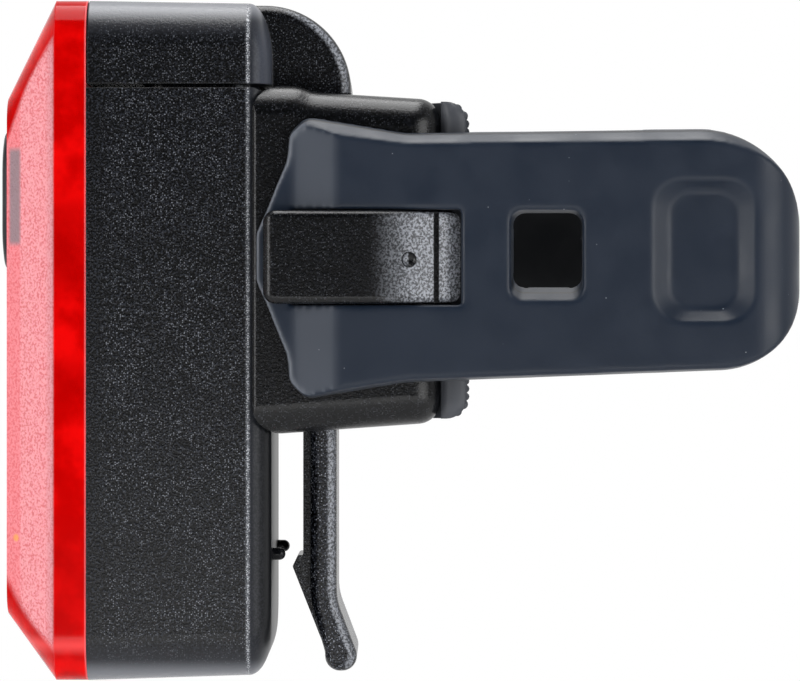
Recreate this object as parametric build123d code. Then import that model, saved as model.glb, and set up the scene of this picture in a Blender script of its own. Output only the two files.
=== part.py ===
"""Battery rear light for a bicycle, held by its belt clip in a strap bracket.

Millimetres, +Z up. The origin is on the seat post's axis, level with the middle of the rubber pad.
The lens looks along -X, and the left and right sides of the light face -Y and +Y.
"""

import math
import os

from build123d import *

# Seat post and the ribbed rubber pad that rests on it
post_radius = 13.6
pad_thickness = 1.9
pad_height = 30.5
pad_grip_half_angle = 57.5
pad_lip_depth = 2.8
pad_lip_overhang = 2.6
pad_corner = 2.0
rib_pitch = 0.75
rib_groove_radius = 0.26

# Clearances
fit_gap = 0.05
slide_gap = 0.3
rest_gap = 0.15
seam_gap = 0.4
hinge_gap = 0.1
key_gap = 0.2
seal_gap = 0.05

# Bracket
seat_wall = 2.3
lip_thickness = 3.05
flange_wall = 0.7
flange_reach = 2.1
bracket_top_z = 16.2
bracket_front_height = 33.1
bracket_rear_drop = 0.75
bracket_rear_lift = 1.28
bracket_corner = 2.8
bracket_hump_x = -23.9
bracket_hump_length = 1.6
bracket_hump_ease = 3.2
bracket_rear_corner = 2.2
bracket_edge = 2.9
flange_edge = 0.5
hook_neck_length = 16.1
hook_height = 8.9
hook_overhang = 2.7
hook_rear_reach = 1.9
hook_plate = 2.1
hook_flat_length = 8.4
hook_rear_fall = 3.0
hook_corner = 1.0
hook_side_corner = 1.2
hook_edge = 0.7
hook_groove_inset = 0.43
hook_groove_width = 0.5
hook_groove_depth = 0.45
hook_mark_inset = 2.92
hook_mark_drop = 0.25
hook_mark_radius = 0.75
hook_mark_depth = 0.45

# Strap
strap_thickness = 2.8
strap_end_thickness = 1.6
strap_taper_length = 4.4
strap_end_strip = 3.1
strap_width = 23.9
strap_flare = 1.6
strap_flare_length = 9.5
strap_flare_ease = 8.0
strap_shoulder_corner = 1.6
strap_tab_height = 4.6
strap_tab_corner = 2.0
strap_waist_drop = 2.6
strap_waist_step = 0.2
strap_waist_ease = 4.0
strap_end_height = 23.0
strap_end_lift = 1.0
strap_end_low_corner = 8.0
strap_end_high_corner = 9.8
strap_bend_radius = 4.8
strap_inner_bend = 2.0
strap_slack = 8.0
strap_mid_z = 0.2
window_length = 6.9
window_height = 8.6
window_corner = 1.1
window_gap = 4.4
window_rise = 0.2
window_side_slope = 0.4
window_low_slope = 1.3
window_high_slope = 0.3
recess_length = 9.9
recess_height = 13.8
recess_corner = 3.0
recess_slope = 1.8
recess_end_slope = 1.2
recess_rise = 0.7
recess_depth = 1.1
recess_from_end = 4.5

# Belt clip
clip_width = 18.0
clip_thickness = 2.6
clip_rib_width = 10.0
clip_rib_depth = 0.75
clip_rib_ease = 4.0
clip_edge = 1.1
clip_top_lean = 1.4
clip_lean_end = 4.1
clip_lean_ease = 8.0
clip_barb_reach = 1.05
clip_barb_height = 1.1
clip_barb_round = 0.3
clip_foot_kick = 1.95
clip_foot_ease = 6.0
clip_foot_end = 1.45
clip_foot_low = 1.8
clip_foot_swell = 0.5
clip_foot_heel = 1.5
clip_below_bracket = 23.05
clip_foot_height = 6.95
gusset_drop = 0.2
gusset_toe = 0.95
gusset_slope = 1.6
bend_radius = 8.4

# Cells and what they touch
cell_diameter = 10.5
cell_length = 44.5
cell_pole_diameter = 3.8
cell_pole_height = 0.8
cell_edge = 0.4
cell_clearance = 0.2
cell_top_gap = 0.1
bore_rib = 2.3
spring_height = 2.6
spring_wire = 0.5
spring_turns = 3
contact_thickness = 0.4
contact_width = 6.0
contact_tab_width = 3.0

# Housing and cap
side_wall = 2.95
back_wall = 1.45
floor_wall = 2.7
partition = 1.2
board_recess = 4.2
recess_wall = 2.0
outline_corner = 4.4
back_edge = 2.2
back_side = 2.8
back_top_rise = 5.6
back_bottom_rise = 4.4
top_draft = 0.25
bottom_draft = 0.5
back_sections = 5
seam_relief = 1.5
nub_radius = 0.6
nub_proud = 0.65
nub_spread = 8.5
nub_height = 12.13
cap_height = 8.65
cap_wall = 1.8
cap_front_gap = 0.15
plug_length = 6.5
plug_wall = 1.9
plug_rim = 0.45
plug_corner = 3.0
seal_height = 1.6
seal_depth = 0.8
bridge_web = 5.0
bridge_screw_radius = 0.7
bridge_screw_head = 1.25
bridge_screw_head_height = 0.5
bridge_screw_length = 5.0

# Lens, seal and key
lens_band = 3.1
lens_nose = 4.85
lens_wall = 1.4
nose_top_inset = 9.3
nose_bottom_inset = 6.3
nose_side_inset = 4.0
nose_corner = 2.6
lens_lip = 1.0
lens_seal_width = 1.0
lens_seal_depth = 0.8
key_length = 13.9
key_width = 8.6
key_proud = 1.25
key_edge = 0.6
key_thickness = 1.5
key_travel = 0.5
key_below_top = 19.0
key_neck_length = 9.2
key_neck_width = 5.0
key_frame = 0.9

# Board and optics
board_thickness = 1.0
board_standoff = 1.4
board_gap = 0.4
led_size = 5.0
led_height = 1.0
led_dome = 1.7
led_pitch = 8.0
led_count = 3
led_below_key = 8.2
reflector_depth = 3.6
cup_back_radius = 3.6
cup_front_radius = 3.9
switch_size = 6.0
switch_height = 1.6
plunger_radius = 1.6
indicator_offset = 7.6
indicator_height = 13.4
pipe_radius = 0.9
pipe_led_height = 0.7
board_boss_wall = 1.0
board_screw_radius = 1.0
board_screw_head = 1.9
board_screw_head_height = 1.0
board_screw_length = 2.2
board_screw_inset = 3.4

# Places along X, worked out from the post towards the lens
seat_radius = post_radius + pad_thickness + fit_gap
pad_rear_x = -post_radius * math.cos(math.radians(pad_grip_half_angle))
pad_rear_half_width = post_radius * math.sin(math.radians(pad_grip_half_angle))
bracket_rear_x = pad_rear_x - pad_lip_depth
slot_rear_x = -(seat_radius + seat_wall)
clip_foot_x = slot_rear_x - slide_gap - fit_gap
clip_outer_x = clip_foot_x - clip_foot_kick
clip_inner_x = clip_outer_x - clip_thickness
clip_rib_x = clip_inner_x - clip_rib_depth
slot_front_x = clip_inner_x - slide_gap
bracket_front_x = slot_front_x - lip_thickness
housing_back_x = bracket_front_x - slide_gap
bore_radius = cell_diameter / 2 + cell_clearance
bore_x = housing_back_x - back_wall - bore_radius
partition_x = bore_x - bore_radius - partition
housing_front_x = partition_x - board_recess
band_front_x = housing_front_x - lens_band
lens_front_x = band_front_x - lens_nose

# Places along Z, worked out from the bracket's top
gusset_z = bracket_top_z + rest_gap
seam_z = gusset_z + gusset_drop
cap_low_z = seam_z + seam_gap
light_top_z = seam_z + cap_height
plug_z = seam_z - plug_length
cell_top_z = plug_z - contact_thickness - cell_top_gap
cell_bottom_z = cell_top_z - cell_length
bore_floor_z = cell_bottom_z - spring_height - contact_thickness
light_bottom_z = bore_floor_z - floor_wall
light_height = light_top_z - light_bottom_z
light_mid_z = (light_top_z + light_bottom_z) / 2
bracket_bottom_z = bracket_top_z - bracket_front_height
clip_end_z = bracket_bottom_z - clip_below_bracket
nub_z = light_bottom_z + nub_height
key_z = light_top_z - key_below_top
led_top_z = key_z - key_length / 2 - led_below_key + led_size / 2

# Places along Y
bore_y = bore_radius + bore_rib / 2
light_half = bore_y + bore_radius + side_wall
bracket_half = light_half + slide_gap + flange_wall
strap_inner_y = bracket_half + slide_gap
strap_outer_y = strap_inner_y + strap_thickness


def block(x0, x1, y0, y1, z0, z1):
    """A box between two corners."""
    middle = Pos((x0 + x1) / 2, (y0 + y1) / 2, (z0 + z1) / 2)
    return middle * Box(abs(x1 - x0), abs(y1 - y0), abs(z1 - z0))


def rod(x0, x1, y, z, radius):
    """A round rod along X."""
    return Pos((x0 + x1) / 2, y, z) * Rot(0, 90, 0) * Cylinder(radius, abs(x1 - x0))


def front_outline(x, inset, corner):
    """The light's outline seen from the front, drawn in by an inset."""
    width = 2 * (light_half - inset)
    height = light_height - 2 * inset
    return Plane.YZ.offset(x) * Pos(0, light_mid_z) * RectangleRounded(width, height, corner)


def front_slab(x0, x1, inset, corner):
    """That outline given a thickness from x0 to x1."""
    return extrude(front_outline(x0, inset, corner), x1 - x0)


def nose_outline(x, inset):
    """The flat front of the lens, drawn in by an inset."""
    width = 2 * (light_half - nose_side_inset - inset)
    top = light_top_z - nose_top_inset - inset
    bottom = light_bottom_z + nose_bottom_inset + inset
    middle = (top + bottom) / 2
    outline = RectangleRounded(width, top - bottom, nose_corner)
    return Plane.YZ.offset(x) * Pos(0, middle) * outline


def key_slab(x0, x1, length, width, inset=0):
    """A slab with round ends, standing upright behind or in the lens front."""
    outline = SlotOverall(length - 2 * inset, width - 2 * inset, rotation=90)
    return extrude(Plane.YZ.offset(x0) * Pos(0, key_z) * outline, x1 - x0)


def side_profile(points, radii, half_width):
    """A closed outline in XZ with rounded corners, given a width about the middle plane."""
    line = FilletPolyline(*points, radius=radii, close=True)
    return extrude(Plane.XZ * make_face(line), half_width, both=True)


def light_shell():
    """The outer form that the housing and the cap share.

    Its top and bottom have a little draft towards the back. The back is rounded all the way round,
    and draws in further at the top and bottom than at the sides.
    """
    start_x = housing_back_x - back_edge
    start_z = light_mid_z + (bottom_draft - top_draft) / 2
    sections = []
    for i in range(back_sections + 1):
        angle = math.radians(90 * i / back_sections)
        share = 1 - math.cos(angle)
        width = 2 * (light_half - back_side * share)
        rise = (back_top_rise + back_bottom_rise) * share
        height = light_height - top_draft - bottom_draft - rise
        middle_z = start_z + (back_bottom_rise - back_top_rise) / 2 * share
        corner = outline_corner + (back_side - outline_corner) * share
        place = Plane.YZ.offset(start_x + back_edge * math.sin(angle)) * Pos(0, middle_z)
        sections.append(place * RectangleRounded(width, height, corner))
    sides = loft([front_outline(housing_front_x, 0, outline_corner), sections[0]], ruled=True)
    return sides + loft(sections)


def mouth_slab(inset, z0, z1):
    """The rounded opening at the top of the housing that takes the cap's plug."""
    front_x = bore_x - bore_radius - plug_rim + inset
    back_x = bore_x + bore_radius + plug_rim - inset
    half = bore_y + bore_radius + plug_rim - inset
    outline = RectangleRounded(back_x - front_x, 2 * half, plug_corner - inset)
    return extrude(Pos((front_x + back_x) / 2, 0, z0) * outline, z1 - z0)


# Housing: two bores for the cells, a mouth for the cap's plug and a tray for the board
tray_top_z = seam_z - lens_wall - lens_seal_width
tray_bottom_z = light_bottom_z + recess_wall
tray_half = light_half - recess_wall


def tray_outline(inset):
    """The outline of the board tray, seen from the front."""
    width = 2 * (tray_half - inset)
    height = tray_top_z - tray_bottom_z - 2 * inset
    corner = outline_corner - recess_wall - inset / 2
    middle = (tray_top_z + tray_bottom_z) / 2
    return Pos(0, middle) * RectangleRounded(width, height, corner)


def tray_slab(x0, x1, inset):
    """The board tray's outline given a thickness from x0 to x1."""
    return extrude(Plane.YZ.offset(x0) * tray_outline(inset), x1 - x0)


def make_housing():
    far = 2 * light_height
    body = light_shell() & block(housing_front_x, housing_back_x, -far, far, light_bottom_z, seam_z)
    body -= tray_slab(housing_front_x, partition_x, 0)
    body -= mouth_slab(0, plug_z - contact_thickness - cell_top_gap, seam_z)
    for side in (-1, 1):
        bore = Cylinder(bore_radius, seam_z - bore_floor_z)
        body -= Pos(bore_x, side * bore_y, (seam_z + bore_floor_z) / 2) * bore
        body -= block(
            partition_x - fit_gap,
            bore_x,
            side * bore_y - contact_tab_width / 2 - fit_gap,
            side * bore_y + contact_tab_width / 2 + fit_gap,
            bore_floor_z,
            bore_floor_z + contact_thickness + fit_gap,
        )
    head_way = Cylinder(bridge_screw_head + slide_gap, 2 * (bridge_screw_head_height + slide_gap))
    body -= Pos(bore_x, 0, plug_z - contact_thickness) * head_way
    body -= seal_ring(0)
    relief = [
        (housing_back_x - seam_relief, seam_z),
        (housing_back_x, seam_z),
        (housing_back_x, seam_z - seam_relief / 2),
    ]
    body -= extrude(Plane.XZ * make_face(Polyline(*relief, close=True)), light_half, both=True)
    boss_radius = board_screw_radius + board_boss_wall
    for side in (-1, 1):
        nub_x = housing_back_x + nub_proud
        body += rod(housing_back_x - back_wall / 2, nub_x, side * nub_spread, nub_z, nub_radius)
        body += Pos(nub_x, side * nub_spread, nub_z) * Sphere(nub_radius)
        for screw_z in board_screw_heights():
            boss = rod(board_back_x, partition_x, side * board_screw_y, screw_z, boss_radius)
            hole = rod(
                board_back_x,
                board_back_x + board_screw_length,
                side * board_screw_y,
                screw_z,
                board_screw_radius + fit_gap,
            )
            body = body + boss - hole
    return body


def seal_ring(slack):
    """The groove in the housing's front rim, or the seal in it when given some slack."""
    middle = (recess_wall - lens_seal_width) / 2
    outer = -(recess_wall - middle) + slack
    inner = -middle - slack
    ring = Plane.YZ.offset(housing_front_x) * (tray_outline(outer) - tray_outline(inner))
    return extrude(ring, lens_seal_depth - slack)


# Board, its screws and the switch
board_back_x = partition_x - board_standoff
board_front_x = board_back_x - board_thickness
board_screw_y = tray_half - board_screw_inset


def board_screw_heights():
    return (tray_bottom_z + board_screw_inset, tray_top_z - board_screw_inset)


def screw_places():
    """One screw low on one side and one high on the other."""
    low, high = board_screw_heights()
    return ((-board_screw_y, low), (board_screw_y, high))


def make_board():
    board = tray_slab(board_front_x, board_back_x, board_gap)
    for y, z in screw_places():
        board -= rod(board_front_x, board_back_x, y, z, board_screw_radius + fit_gap)
    return board


def make_board_screws():
    screws = []
    for y, z in screw_places():
        head = rod(board_front_x - board_screw_head_height, board_front_x, y, z, board_screw_head)
        shank = rod(board_front_x, board_back_x + board_screw_length - fit_gap, y, z, board_screw_radius)
        screws.append(head + shank)
    return Compound(children=screws)


def make_switch():
    body = block(
        board_front_x - switch_height,
        board_front_x,
        -switch_size / 2,
        switch_size / 2,
        key_z - switch_size / 2,
        key_z + switch_size / 2,
    )
    button_tip = board_front_x - switch_height - key_travel
    return body + rod(button_tip, board_front_x - switch_height, 0, key_z, plunger_radius)


# Lights on the board and what shapes their beam
reflector_back_x = board_front_x
reflector_front_x = reflector_back_x - reflector_depth
led_heights = [led_top_z - led_size / 2 - led_pitch * i for i in range(led_count)]
indicator_z = light_bottom_z + indicator_height


def make_leds():
    half = led_size / 2
    base_x = board_front_x - led_height
    leds = []
    for z in led_heights:
        base = block(base_x, board_front_x, -half, half, z - half, z + half)
        dome = Pos(base_x, 0, z) * Sphere(led_dome)
        dome &= block(base_x - half, board_front_x, -half, half, z - half, z + half)
        leds.append(base + dome)
    return Compound(children=leds)


def make_reflector():
    tray = tray_slab(reflector_front_x, reflector_back_x, recess_wall)
    for z in led_heights:
        cone = Cone(cup_back_radius, cup_front_radius, reflector_depth)
        tray -= Pos((reflector_front_x + reflector_back_x) / 2, 0, z) * Rot(0, -90, 0) * cone
    well = switch_size / 2 + board_gap
    tray -= block(reflector_front_x, reflector_back_x, -well, well, key_z - well, key_z + well)
    tray -= rod(reflector_front_x, reflector_back_x, -indicator_offset, indicator_z, pipe_radius + board_gap)
    for y, z in screw_places():
        tray -= rod(reflector_front_x, reflector_back_x, y, z, board_screw_head + board_gap)
    return tray


def make_indicator_led():
    size = pipe_radius
    return block(
        board_front_x - pipe_led_height,
        board_front_x,
        -indicator_offset - size,
        -indicator_offset + size,
        indicator_z - size,
        indicator_z + size,
    )


def make_light_pipe():
    tip = lens_front_x + lens_wall + fit_gap
    return rod(tip, board_front_x - pipe_led_height, -indicator_offset, indicator_z, pipe_radius)


# Lens: a clear band, then a nose whose four sides slope in to a flat front
pocket_floor_x = lens_front_x - key_proud + key_thickness + key_travel + fit_gap
key_boss_back_x = pocket_floor_x + lens_wall


def make_lens():
    band = front_slab(band_front_x, housing_front_x, 0, outline_corner)
    nose = loft([front_outline(band_front_x, 0, outline_corner), nose_outline(lens_front_x, 0)])
    lens = band + nose
    back_web_x = housing_front_x - lens_wall
    hollow = loft(
        [
            front_outline(band_front_x, lens_wall, outline_corner - lens_wall),
            nose_outline(lens_front_x + lens_wall, lens_wall / 2),
        ]
    )
    hollow += front_slab(band_front_x, back_web_x, lens_wall, outline_corner - lens_wall)
    hollow += tray_slab(back_web_x, housing_front_x, recess_wall - lens_wall)
    lens -= hollow
    lip = tray_slab(housing_front_x - lens_wall, housing_front_x + lens_lip, fit_gap)
    lens += lip - tray_slab(housing_front_x - lens_wall, housing_front_x + lens_lip, lens_lip)
    boss = key_slab(lens_front_x + lens_wall / 2, key_boss_back_x, key_length, key_width, -lens_wall / 2)
    lens += boss
    lens -= key_slab(lens_front_x - lens_wall, pocket_floor_x, key_length, key_width, -key_gap)
    lens -= key_slab(lens_front_x, key_boss_back_x, key_neck_length, key_neck_width, -key_gap)
    return lens


def make_lens_seal():
    return seal_ring(fit_gap)


# Key in the lens front, and the plunger that carries its push to the switch
key_outer_x = lens_front_x - key_proud
key_frame_x = key_boss_back_x + fit_gap
switch_tip_x = board_front_x - switch_height - key_travel
plunger_tip_x = switch_tip_x - key_travel - fit_gap


def make_key():
    cap = key_slab(key_outer_x, key_outer_x + key_thickness, key_length, key_width)
    front_face = cap.faces().sort_by(Axis.X)[0]
    cap = fillet(front_face.edges(), key_edge)
    neck = key_slab(key_outer_x + key_thickness / 2, key_frame_x, key_neck_length, key_neck_width)
    return cap + neck


def make_plunger():
    frame = key_slab(key_frame_x, key_frame_x + key_frame, key_neck_length, key_neck_width, -key_frame)
    stem = rod(key_frame_x, plunger_tip_x, 0, key_z, plunger_radius)
    return frame + stem


# Cells: one stands pole up, the other pole down
def make_cell(side, pole_up):
    can_length = cell_length - cell_pole_height
    can_bottom = cell_bottom_z if pole_up else cell_bottom_z + cell_pole_height
    pole_middle = cell_top_z - cell_pole_height / 2 if pole_up else cell_bottom_z + cell_pole_height / 2
    can = Pos(bore_x, side * bore_y, can_bottom + can_length / 2) * Cylinder(cell_diameter / 2, can_length)
    can = fillet(can.edges(), cell_edge)
    pole = Cylinder(cell_pole_diameter / 2, cell_pole_height)
    return can + Pos(bore_x, side * bore_y, pole_middle) * pole


# Floor contacts: a flat one under the spring and a raised one under the other cell's pole
def make_contacts():
    plates = []
    for side, top in ((-1, contact_thickness), (1, contact_thickness + spring_height)):
        foot = block(
            board_back_x,
            bore_x + contact_width / 2,
            side * bore_y - contact_tab_width / 2,
            side * bore_y + contact_tab_width / 2,
            bore_floor_z,
            bore_floor_z + contact_thickness,
        )
        seat = Cylinder(contact_width / 2, top)
        plates.append(foot + Pos(bore_x, side * bore_y, bore_floor_z + top / 2) * seat)
    return Compound(children=plates)


def make_spring():
    """The coil between the floor contact and the flat end of the near cell, ground flat at both ends."""
    coil_radius = contact_width / 2
    pitch = (spring_height - spring_wire) / spring_turns
    path = Helix(pitch, pitch * spring_turns, coil_radius)
    wire_section = Plane(path @ 0, z_dir=path % 0) * Circle(spring_wire / 2)
    coil = sweep(wire_section, path)
    low = bore_floor_z + contact_thickness
    return Pos(bore_x, -bore_y, low + spring_wire / 2) * coil


# Cap: closes the housing, plugs its mouth and carries the root of the belt clip
bend_top_x = clip_outer_x + clip_top_lean
bend_x = bend_top_x - bend_radius
gusset_top_z = light_top_z - top_draft
bend_z = gusset_top_z - bend_radius


def make_gusset():
    """The root of the clip, a quarter bend with a web on each side, open below."""
    start_x = housing_back_x - 2 * cap_wall
    toe_x = slot_front_x + gusset_toe
    lines = [
        Line((start_x, cap_low_z), (start_x, gusset_top_z)),
        Line((start_x, gusset_top_z), (bend_x, gusset_top_z)),
        TangentArc((bend_x, gusset_top_z), (bend_top_x, bend_z), tangent=(1, 0)),
        Line((bend_top_x, bend_z), (bend_top_x, gusset_z)),
        Line((bend_top_x, gusset_z), (toe_x, gusset_z)),
        Line((toe_x, gusset_z), (toe_x - gusset_slope, cap_low_z)),
        Line((toe_x - gusset_slope, cap_low_z), (start_x, cap_low_z)),
    ]
    root = extrude(Plane.XZ * make_face(lines), clip_width / 2, both=True)
    round_edges = root.edges().filter_by(
        lambda edge: abs(edge.center().Y) > clip_rib_width / 2
        and edge.center().Z > seam_z + clip_edge
        and edge.center().X > start_x + clip_edge
    )
    root = fillet(round_edges, clip_edge)
    half = clip_rib_width / 2
    inside = Pos(bend_x, 0, bend_z) * Rot(90, 0, 0) * Cylinder(bend_radius - clip_thickness, clip_rib_width)
    inside += block(bend_x, bend_top_x - clip_thickness, -half, half, gusset_z - gusset_drop, bend_z)
    inside &= block(housing_back_x + cap_wall / 2, bend_top_x, -half, half, gusset_z, gusset_top_z)
    return root - inside


def make_cap():
    far = 2 * light_height
    front_x = housing_front_x + cap_front_gap
    cap = light_shell() & block(front_x, housing_back_x, -far, far, cap_low_z, light_top_z)
    cap += mouth_slab(slide_gap, plug_z, cap_low_z)
    groove_z = (plug_z + seam_z) / 2
    groove_ring = mouth_slab(0, groove_z - seal_height / 2, groove_z + seal_height / 2)
    groove_ring -= mouth_slab(slide_gap + seal_depth, groove_z - seal_height / 2, groove_z + seal_height / 2)
    cap -= groove_ring
    hollow = mouth_slab(slide_gap + seal_depth + plug_wall / 2, plug_z, light_top_z - cap_wall)
    web_half = bridge_web / 2
    web = block(bore_x - bore_radius, bore_x + bore_radius, -web_half, web_half, plug_z, light_top_z)
    cap -= hollow - web
    cap += make_gusset()
    screw_hole = Cylinder(bridge_screw_radius + fit_gap, bridge_screw_length)
    cap -= Pos(bore_x, 0, plug_z + bridge_screw_length / 2) * screw_hole
    return cap


def make_cap_seal():
    groove_z = (plug_z + seam_z) / 2
    low = groove_z - seal_height / 2 + fit_gap
    high = groove_z + seal_height / 2 - fit_gap
    return mouth_slab(seal_gap, low, high) - mouth_slab(slide_gap + seal_depth - fit_gap, low, high)


def make_bridge():
    plate = mouth_slab(slide_gap + seal_depth, plug_z - contact_thickness, plug_z)
    hole = Cylinder(bridge_screw_radius + fit_gap, 3 * contact_thickness)
    return plate - Pos(bore_x, 0, plug_z) * hole


def make_bridge_screw():
    head_z = plug_z - contact_thickness - bridge_screw_head_height / 2
    shank_length = bridge_screw_length + contact_thickness - fit_gap
    head = Pos(bore_x, 0, head_z) * Cylinder(bridge_screw_head, bridge_screw_head_height)
    shank_z = plug_z - contact_thickness + shank_length / 2
    return head + Pos(bore_x, 0, shank_z) * Cylinder(bridge_screw_radius, shank_length)


# Belt clip: a leg that leans a little, with a stiffening rib, a barb and a kicked-out foot
def make_clip():
    top_z = gusset_z - hinge_gap
    lean_z = bracket_bottom_z + clip_lean_end
    foot_low_z = clip_end_z + clip_foot_low
    foot_bend_z = clip_end_z + clip_foot_height
    foot_inner_x = clip_foot_x - clip_thickness - clip_foot_swell
    plate = [
        (bend_top_x - clip_thickness, top_z),
        (bend_top_x, top_z),
        (clip_outer_x, lean_z),
        (clip_outer_x, foot_bend_z),
        (clip_foot_x, foot_low_z),
        (clip_foot_x, clip_end_z),
        (foot_inner_x, clip_end_z),
        (foot_inner_x, foot_low_z),
        (clip_inner_x, foot_bend_z),
        (clip_inner_x, lean_z),
    ]
    lean, foot, end, heel = clip_lean_ease, clip_foot_ease, clip_foot_end, clip_foot_heel
    radii = [0, 0, lean, foot, heel, end, end, heel, foot, lean]
    leg = side_profile(plate, radii, clip_width / 2)
    round_edges = leg.faces().filter_by(Axis.Y).edges().filter_by(
        lambda edge: edge.center().Z < top_z - clip_edge
    )
    leg = fillet(round_edges, clip_edge)
    barb_top_z = nub_z - nub_radius / 2
    barb_tip_z = barb_top_z - clip_barb_height
    rib = [
        (bend_top_x - clip_thickness, top_z),
        (bend_top_x - clip_thickness / 2, top_z),
        (clip_outer_x - clip_thickness / 2, foot_bend_z),
        (clip_foot_x - clip_thickness / 2, foot_low_z),
        (foot_inner_x, foot_low_z),
        (clip_rib_x - clip_barb_reach, barb_tip_z),
        (clip_rib_x - clip_barb_reach / 2, barb_top_z),
        (clip_rib_x, barb_top_z),
        (clip_rib_x, lean_z),
    ]
    barb = clip_barb_round
    rib_radii = [0, 0, 0, 0, 0, barb, barb, barb / 2, clip_rib_ease]
    leg += side_profile(rib, rib_radii, clip_rib_width / 2)
    return leg


# Bracket: one moulding with two flanges, a slot for the clip, a seat for the pad and two hooks
def make_bracket():
    flange_x = housing_back_x - flange_reach + slide_gap
    rear_top = bracket_top_z - bracket_rear_drop
    rear_bottom = bracket_bottom_z + bracket_rear_lift
    hump_z = cap_low_z - rest_gap
    side = [
        (flange_x, bracket_bottom_z),
        (bracket_rear_x, rear_bottom),
        (bracket_rear_x, rear_top),
        (bracket_hump_x + bracket_hump_length, bracket_top_z),
        (bracket_hump_x, hump_z),
        (flange_x, hump_z),
    ]
    rear, ease = bracket_rear_corner, bracket_hump_ease
    body = side_profile(side, [0, rear, rear, ease, ease, 0], bracket_half)
    side_edges = body.faces().filter_by(Axis.Y).edges().filter_by(GeomType.LINE)
    sloping_edges = side_edges.filter_by(
        lambda edge: abs(edge.tangent_at(0).X) > abs(edge.tangent_at(0).Z)
    )
    body = fillet(sloping_edges, bracket_edge)
    front = bracket_corner
    body &= side_profile(side, [front, rear, rear, ease, ease, front], bracket_half)
    tall = 2 * bracket_front_height
    plan = RectangleRounded(2 * bracket_half, 2 * bracket_half, flange_edge)
    body &= extrude(Plane.XY.offset(-tall / 2) * Pos(flange_x + bracket_half, 0) * plan, tall)
    grown_half = light_half + slide_gap
    pocket = Pos(bracket_front_x - grown_half, 0) * RectangleRounded(
        2 * grown_half, 2 * grown_half, back_edge + slide_gap
    )
    body -= extrude(Plane.XY.offset(-tall / 2) * pocket, tall)
    slot_half = clip_width / 2 + slide_gap
    body -= block(slot_front_x, slot_rear_x, -slot_half, slot_half, -tall, tall)
    rib_half = clip_rib_width / 2 + slide_gap
    body -= block(bracket_front_x - flange_reach, slot_front_x, -rib_half, rib_half, -tall, tall)
    nub_way = nub_radius + slide_gap
    for sign in (-1, 1):
        body -= block(
            bracket_front_x,
            housing_back_x + nub_proud + nub_way,
            sign * nub_spread - nub_way,
            sign * nub_spread + nub_way,
            -tall,
            tall,
        )
    body -= Cylinder(seat_radius, tall)
    hook = make_hook()
    return body + hook + mirror(hook, Plane.XZ)


# The hook's face is flat at its front and falls away to the rear in a long curve
hook_neck_rear_x = bracket_rear_x + hook_rear_reach
hook_neck_front_x = hook_neck_rear_x - hook_neck_length
hook_tip_x = hook_neck_front_x - hook_overhang
hook_flat_end_x = hook_tip_x + hook_flat_length
hook_face_y = strap_inner_y + strap_end_thickness + slide_gap + hook_plate


def hook_surface_y(x):
    """How far out the curved part of the hook's face lies."""
    run = hook_neck_rear_x - hook_flat_end_x
    radius = (run**2 + hook_rear_fall**2) / (2 * hook_rear_fall)
    return hook_face_y - radius + math.sqrt(radius**2 - (x - hook_flat_end_x) ** 2)


def make_hook():
    """A hook with a groove near its heel and a round mark on its falling face."""
    under_y = hook_face_y - hook_plate
    root_y = bracket_half - flange_wall
    fall_y = hook_face_y - hook_rear_fall
    lines = [
        Line((hook_neck_front_x, root_y), (hook_neck_front_x, under_y)),
        Line((hook_neck_front_x, under_y), (hook_tip_x, under_y)),
        Line((hook_tip_x, under_y), (hook_tip_x, hook_face_y)),
        Line((hook_tip_x, hook_face_y), (hook_flat_end_x, hook_face_y)),
        TangentArc((hook_flat_end_x, hook_face_y), (hook_neck_rear_x, fall_y), tangent=(1, 0)),
        Line((hook_neck_rear_x, fall_y), (hook_neck_rear_x, root_y)),
        Line((hook_neck_rear_x, root_y), (hook_neck_front_x, root_y)),
    ]
    low_z = strap_mid_z - hook_height / 2
    hook = extrude(Plane.XY.offset(low_z) * make_face(lines), hook_height)
    tip_edges = hook.edges().filter_by(Axis.Z).group_by(Axis.X)[0].sort_by(Axis.Y)
    hook = fillet(tip_edges[-1], hook_corner)
    length = hook_neck_rear_x - hook_tip_x
    long_grip = RectangleRounded(2 * length, hook_height, hook_side_corner)
    hook &= extrude(Plane.XZ * Pos(hook_neck_rear_x, strap_mid_z) * long_grip, -2 * hook_face_y)
    rim = hook.edges().filter_by(
        lambda edge: edge.center().Y > under_y + hook_edge
        and abs(edge.center().Z - strap_mid_z) > hook_height / 2 - hook_edge
    )
    hook = fillet(rim, hook_edge)
    middle = Pos((hook_tip_x + hook_neck_rear_x) / 2, strap_mid_z)
    grip = middle * RectangleRounded(length, hook_height, hook_side_corner)
    hook &= extrude(Plane.XZ * grip, -2 * hook_face_y)
    groove_x = bracket_rear_x - hook_groove_inset
    groove_y = hook_surface_y(groove_x) - hook_groove_depth
    front_x = groove_x - hook_groove_width / 2
    rear_x = groove_x + hook_groove_width / 2
    hook -= block(front_x, rear_x, groove_y, hook_face_y, low_z, low_z + hook_height)
    mark_x = bracket_rear_x - hook_mark_inset
    mark_y = hook_surface_y(mark_x) - hook_mark_depth
    ball_radius = (hook_mark_radius**2 + hook_mark_depth**2) / (2 * hook_mark_depth)
    return hook - Pos(mark_x, mark_y + ball_radius, strap_mid_z - hook_mark_drop) * Sphere(ball_radius)


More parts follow.
